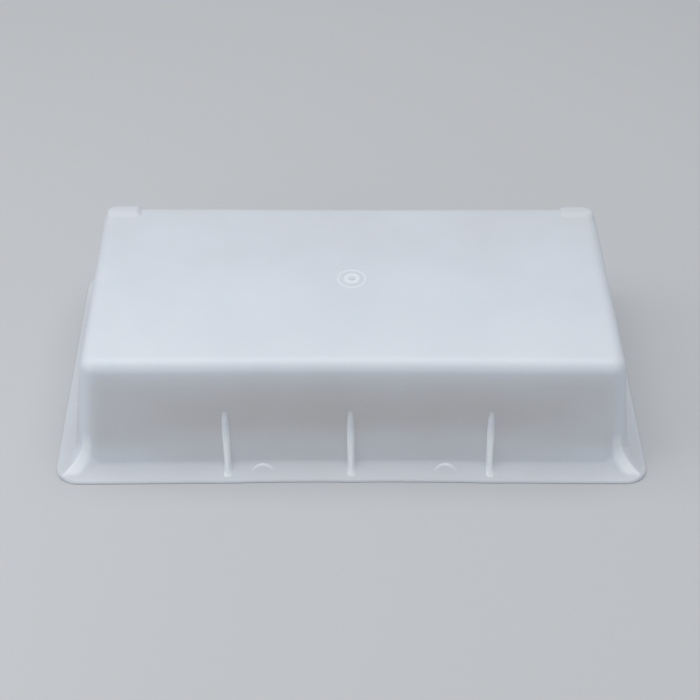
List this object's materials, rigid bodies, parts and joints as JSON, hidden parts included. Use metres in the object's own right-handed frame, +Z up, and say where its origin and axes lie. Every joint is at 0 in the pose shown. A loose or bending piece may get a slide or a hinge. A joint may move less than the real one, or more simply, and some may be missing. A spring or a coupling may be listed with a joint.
{
  "type": "humidity dome tray",
  "caption": "Rectangular white polypropylene tray with a flared rim, shown rim down as a dome, with stiffening ribs and low feet on the back corners of its base.",
  "frame": {"origin": "middle of the rim plane, on which the part rests when it is used rim down as a dome", "axes": "+X along the length, +Y across the width from the ribbed front to the back, +Z up from the rim to the base panel"},
  "size_m": [0.54, 0.293, 0.1207],
  "materials": {
    "polypropylene": "satin"
  },
  "bodies": {
    "root": {"base_panel": "polypropylene", "front_wall": "polypropylene", "back_wall": "polypropylene", "left_wall": "polypropylene", "right_wall": "polypropylene", "front_left_corner": "polypropylene", "front_right_corner": "polypropylene", "back_left_corner": "polypropylene", "back_right_corner": "polypropylene", "front_flange": "polypropylene", "back_flange": "polypropylene", "left_flange": "polypropylene", "right_flange": "polypropylene", "front_lip": "polypropylene", "back_lip": "polypropylene", "left_lip": "polypropylene", "right_lip": "polypropylene", "front_left_lip": "polypropylene", "front_right_lip": "polypropylene", "back_left_lip": "polypropylene", "back_right_lip": "polypropylene", "front_rib_left": "polypropylene", "front_rib_middle": "polypropylene", "front_rib_right": "polypropylene", "back_rib_left": "polypropylene", "back_rib_middle": "polypropylene", "back_rib_right": "polypropylene", "back_left_foot": "polypropylene", "back_right_foot": "polypropylene", "front_pad_left": "polypropylene", "front_pad_right": "polypropylene", "back_pad_left": "polypropylene", "back_pad_right": "polypropylene", "gate_mark": "polypropylene"}
  },
  "joints": []
}
